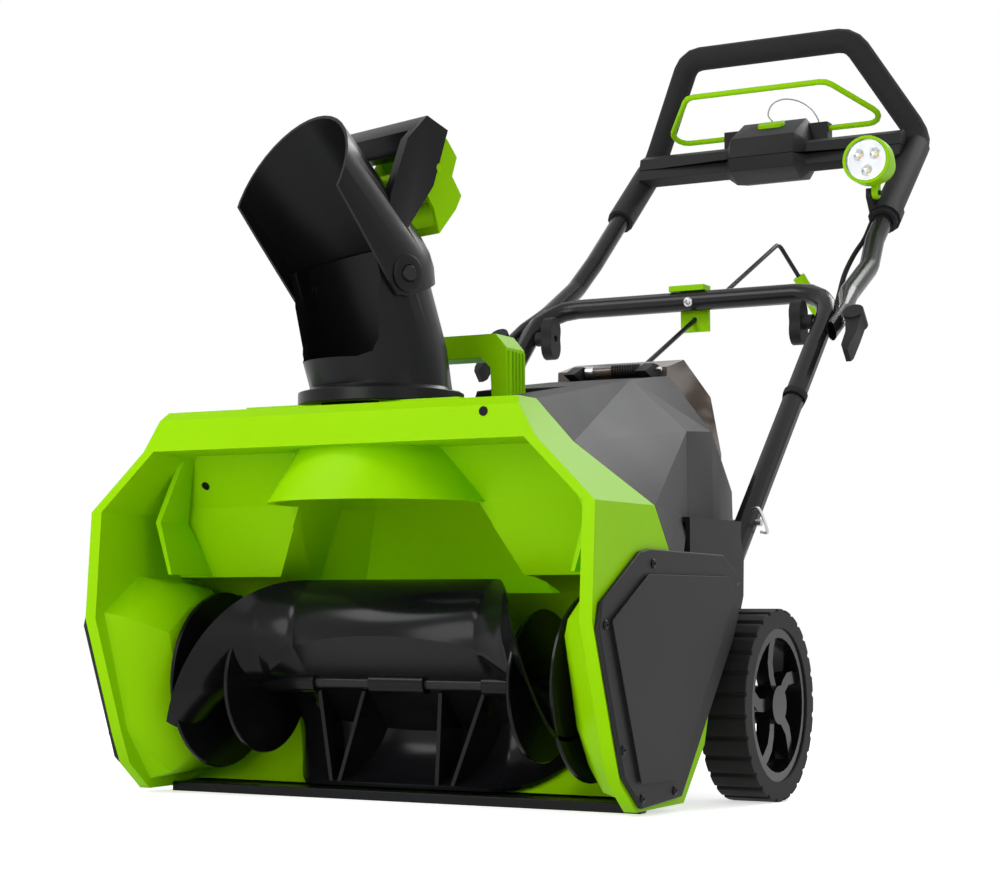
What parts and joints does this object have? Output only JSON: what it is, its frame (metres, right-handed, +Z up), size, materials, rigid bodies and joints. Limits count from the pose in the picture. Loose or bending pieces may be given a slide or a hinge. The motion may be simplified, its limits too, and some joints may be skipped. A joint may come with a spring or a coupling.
{
  "type": "battery snow thrower",
  "caption": "Walk-behind battery snow thrower: wide auger intake, turning chute with tilting hood and crank, wheels, folding handle with bail switch and headlight.",
  "frame": {"origin": "on the ground under the middle of the part's box", "axes": "+Z up, -Y the way the intake faces, +X to the right as seen from the front"},
  "size_m": [0.576, 1.2096, 0.9995],
  "materials": {
    "lime_plastic": "satin moulded lime green",
    "charcoal_plastic": "fine textured charcoal",
    "black_plastic": "satin to gloss moulded black",
    "coated_tube": "gloss black powder coat",
    "grip_foam": "matte closed-cell foam",
    "tyre_rubber": "matte moulded tread",
    "cable_rubber": "matte black",
    "tether_cord": "thin black cord",
    "bright_steel": "bright zinc",
    "smoked_plastic": "smoked clear",
    "silvered": "vacuum silvered",
    "clear_lens": "clear"
  },
  "bodies": {
    "base": {"auger_housing": "lime_plastic", "side_cover_left": "charcoal_plastic", "side_cover_right": "charcoal_plastic", "scraper_bar": "black_plastic", "motor_housing": "charcoal_plastic", "upper_cover": "charcoal_plastic", "lid_hinge_pin": "bright_steel", "battery_pack": "charcoal_plastic", "carry_handle": "lime_plastic", "auger_bearing_left": "bright_steel", "auger_bearing_right": "bright_steel", "motor": "bright_steel", "drive_belt": "cable_rubber", "wheel_axle": "bright_steel", "crank_guide": "lime_plastic", "lower_handle": "coated_tube", "handle_bracket_left": "charcoal_plastic", "handle_bracket_right": "charcoal_plastic", "handle_pin_left": "bright_steel", "handle_pin_right": "bright_steel", "fold_bolt_left": "bright_steel", "fold_bolt_right": "bright_steel", "power_cable_lower": "cable_rubber"},
    "auger": {"auger_shaft": "bright_steel", "auger_rotor": "black_plastic", "auger_pulley": "bright_steel"},
    "motor_drive": {"motor_pulley": "bright_steel"},
    "wheel_left": {"wheel_tyre_left": "tyre_rubber", "wheel_rim_left": "black_plastic"},
    "wheel_right": {"wheel_tyre_right": "tyre_rubber", "wheel_rim_right": "black_plastic"},
    "chute": {"chute_ring": "black_plastic", "chute_tube": "black_plastic", "deflector_pin_left": "bright_steel", "deflector_pin_right": "bright_steel"},
    "deflector": {"deflector_hood": "black_plastic"},
    "trigger": {"deflector_trigger": "lime_plastic"},
    "pinion": {"chute_pinion": "bright_steel"},
    "crank": {"crank_rod": "coated_tube"},
    "crank_handle": {"crank_grip": "lime_plastic"},
    "lid": {"battery_lid": "smoked_plastic"},
    "handle": {"upper_handle": "coated_tube", "foam_grip": "grip_foam", "handle_sleeve_left": "charcoal_plastic", "handle_sleeve_right": "charcoal_plastic", "switch_housing_lower": "charcoal_plastic", "switch_housing_upper": "charcoal_plastic", "key_tether": "tether_cord", "headlight_bracket": "charcoal_plastic", "power_cable_upper": "cable_rubber"},
    "knob_left": {"clamp_knob_left": "charcoal_plastic"},
    "knob_right": {"clamp_knob_right": "charcoal_plastic"},
    "cam_left": {"cam_lever_left": "charcoal_plastic"},
    "cam_right": {"cam_lever_right": "charcoal_plastic"},
    "button": {"start_button": "lime_plastic"},
    "switch_bail": {"bail": "lime_plastic"},
    "headlight": {"headlight_body": "lime_plastic", "headlight_reflector": "silvered", "headlight_lens": "clear_lens"}
  },
  "joints": [
    {"name": "auger_spin", "type": "hinge", "parent": "base", "child": "auger", "pos_m": [0, -0.4217, 0.11039], "axis": [1, 0, 0], "continuous": true},
    {"name": "motor_spin", "type": "hinge", "parent": "base", "child": "motor_drive", "pos_m": [0, -0.28078, 0.20135], "axis": [1, 0, 0], "continuous": true},
    {"name": "wheel_left_spin", "type": "hinge", "parent": "base", "child": "wheel_left", "pos_m": [-0.288, -0.17399, 0.0945], "axis": [1, 0, 0], "continuous": true},
    {"name": "wheel_right_spin", "type": "hinge", "parent": "base", "child": "wheel_right", "pos_m": [0.288, -0.17399, 0.0945], "axis": [1, 0, 0], "continuous": true},
    {"name": "chute_turn", "type": "hinge", "parent": "base", "child": "chute", "pos_m": [0, -0.46669, 0.36798], "axis": [0, -0.0348, 0.9994], "range_deg": [-72, 108]},
    {"name": "deflector_tilt", "type": "hinge", "parent": "chute", "child": "deflector", "pos_m": [-0.00988, -0.50109, 0.48171], "axis": [0.9511, -0.3088, -0.0108], "range_deg": [0, 40]},
    {"name": "deflector_trigger_squeeze", "type": "hinge", "parent": "deflector", "child": "trigger", "pos_m": [0.00464, -0.46009, 0.58834], "axis": [0.9511, -0.3088, -0.0108], "range_deg": [0, 10], "stiffness_Nm_per_rad": 0.6, "springref_deg": -11.46},
    {"name": "pinion_turn", "type": "hinge", "parent": "base", "child": "pinion", "pos_m": [-0.01785, -0.00962, 0.40248], "axis": [0.0471, -0.9983, -0.0348], "range_deg": [-844.4, 563.6]},
    {"name": "crank_turn", "type": "hinge", "parent": "base", "child": "crank", "pos_m": [-0.01785, -0.00662, 0.40259], "axis": [0.0805, 0.8577, 0.5078], "range_deg": [-563.6, 844.4]},
    {"name": "crank_grip_spin", "type": "hinge", "parent": "crank", "child": "crank_handle", "pos_m": [0.02953, 0.49828, 0.70154], "axis": [0.3866, 0.4427, -0.809], "continuous": true},
    {"name": "lid_open", "type": "hinge", "parent": "base", "child": "lid", "pos_m": [0, -0.12409, 0.44295], "axis": [1, 0, 0], "range_deg": [0, 100]},
    {"name": "handle_fold", "type": "hinge", "parent": "base", "child": "handle", "pos_m": [0, 0.20769, 0.54106], "axis": [1, 0, 0], "range_deg": [0, 120]},
    {"name": "clamp_knob_left_turn", "type": "hinge", "parent": "base", "child": "knob_left", "pos_m": [-0.158, 0.20769, 0.54106], "axis": [1, 0, 0], "range_deg": [0, 360]},
    {"name": "clamp_knob_right_turn", "type": "hinge", "parent": "base", "child": "knob_right", "pos_m": [0.158, 0.20769, 0.54106], "axis": [1, 0, 0], "range_deg": [0, 360]},
    {"name": "cam_lever_left_open", "type": "hinge", "parent": "handle", "child": "cam_left", "pos_m": [-0.2357, 0.20769, 0.54106], "axis": [0, 0.721, -0.6929], "range_deg": [0, 90]},
    {"name": "cam_lever_right_open", "type": "hinge", "parent": "handle", "child": "cam_right", "pos_m": [0.2357, 0.20769, 0.54106], "axis": [0, -0.721, 0.6929], "range_deg": [0, 90]},
    {"name": "start_button_press", "type": "slide", "parent": "handle", "child": "button", "axis": [0, 0.544, -0.8391], "range_m": [0, 0.003], "stiffness_N_per_m": 400, "springref_m": -0.002},
    {"name": "bail_squeeze", "type": "hinge", "parent": "handle", "child": "switch_bail", "pos_m": [0, 0.57134, 0.87342], "axis": [-1, 0, 0], "range_deg": [0, 35], "stiffness_Nm_per_rad": 1, "springref_deg": -17.19},
    {"name": "headlight_tilt", "type": "hinge", "parent": "handle", "child": "headlight", "pos_m": [0.19, 0.42287, 0.74067], "axis": [1, 0, 0], "range_deg": [-15, 15]}
  ],
  "couplings": [
    {"joint": "motor_spin", "follows": "auger_spin", "ratio": 2.5714},
    {"joint": "pinion_turn", "follows": "chute_turn", "ratio": -7.8},
    {"joint": "crank_turn", "follows": "chute_turn", "ratio": 7.8}
  ]
}
